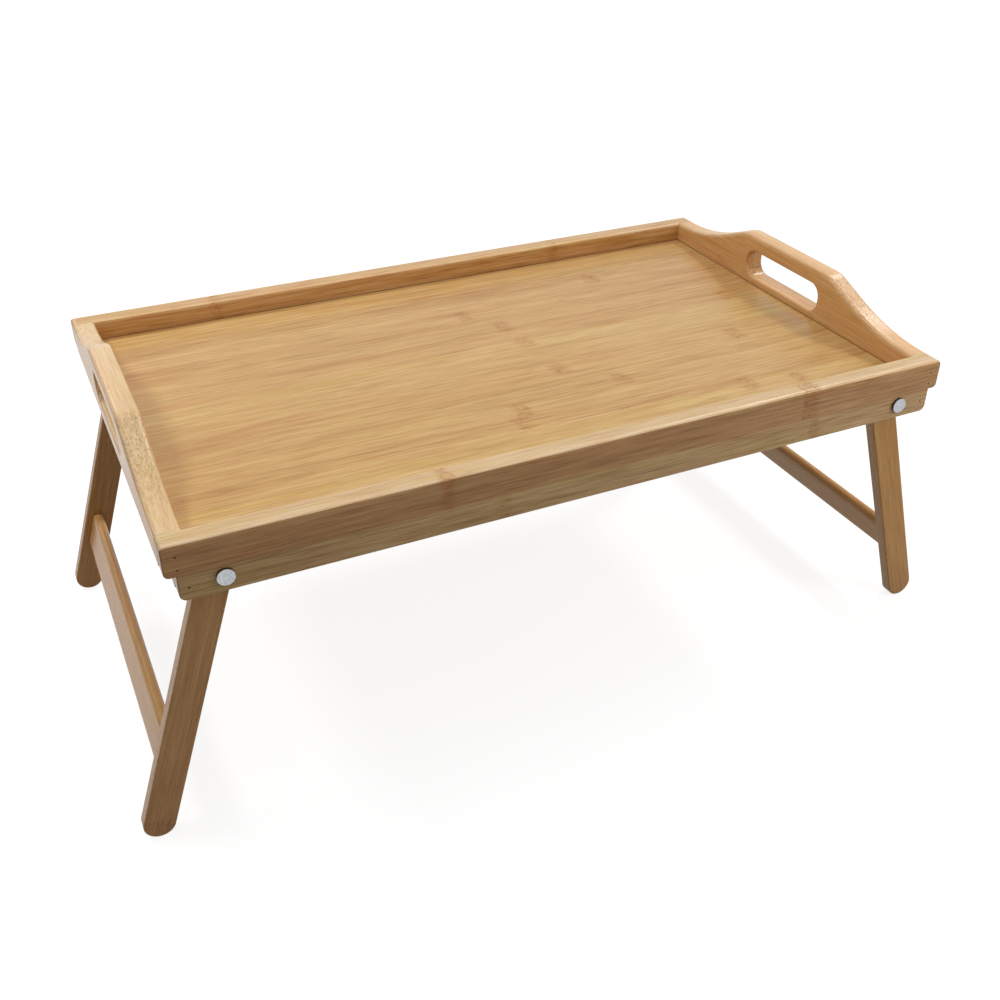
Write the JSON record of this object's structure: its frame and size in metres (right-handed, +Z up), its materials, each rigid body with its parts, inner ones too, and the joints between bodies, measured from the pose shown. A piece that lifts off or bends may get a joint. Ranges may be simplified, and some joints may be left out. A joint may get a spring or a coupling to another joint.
{
  "type": "bed tray table",
  "caption": "Bamboo bed tray table with a raised rim, a handle board with a finger slot at each end, and splayed leg frames that fold flat under it.",
  "frame": {"origin": "on the floor, under the middle of the tray", "axes": "+X along the tray from the left handle board to the right one, +Y from the front rail to the back rail, +Z up"},
  "size_m": [0.5724, 0.308, 0.2309],
  "materials": {
    "bamboo_panel": "satin lacquered flat-grain bamboo",
    "bamboo_rails": "satin lacquered edge-grain bamboo",
    "bamboo_handles": "satin lacquered edge-grain bamboo, end grain on the slopes",
    "bamboo_legs": "satin lacquered bamboo",
    "steel": "satin zinc plated",
    "nylon": "matt natural nylon"
  },
  "bodies": {
    "tray": {"front_rail": "bamboo_rails", "back_rail": "bamboo_rails", "front_rail_nails": "steel", "back_rail_nails": "steel", "left_handle_board": "bamboo_handles", "right_handle_board": "bamboo_handles", "left_end_rail": "bamboo_rails", "right_end_rail": "bamboo_rails", "tray_panel": "bamboo_panel", "front_left_pivot_bolt": "steel", "front_left_spacer": "nylon", "front_left_washer": "steel", "front_left_nut": "steel", "back_left_pivot_bolt": "steel", "back_left_spacer": "nylon", "back_left_washer": "steel", "back_left_nut": "steel", "front_right_pivot_bolt": "steel", "front_right_spacer": "nylon", "front_right_washer": "steel", "front_right_nut": "steel", "back_right_pivot_bolt": "steel", "back_right_spacer": "nylon", "back_right_washer": "steel", "back_right_nut": "steel"},
    "left_leg_frame": {"front_left_leg": "bamboo_legs", "back_left_leg": "bamboo_legs", "left_crossbar": "bamboo_legs"},
    "right_leg_frame": {"front_right_leg": "bamboo_legs", "back_right_leg": "bamboo_legs", "right_crossbar": "bamboo_legs"}
  },
  "joints": [
    {"name": "left_leg_fold", "type": "hinge", "parent": "tray", "child": "left_leg_frame", "pos_m": [-0.2198, 0, 0.18268], "axis": [0, -1, 0], "range_deg": [0, 108.2]},
    {"name": "right_leg_fold", "type": "hinge", "parent": "tray", "child": "right_leg_frame", "pos_m": [0.2198, 0, 0.18268], "axis": [0, 1, 0], "range_deg": [0, 108.2]}
  ]
}
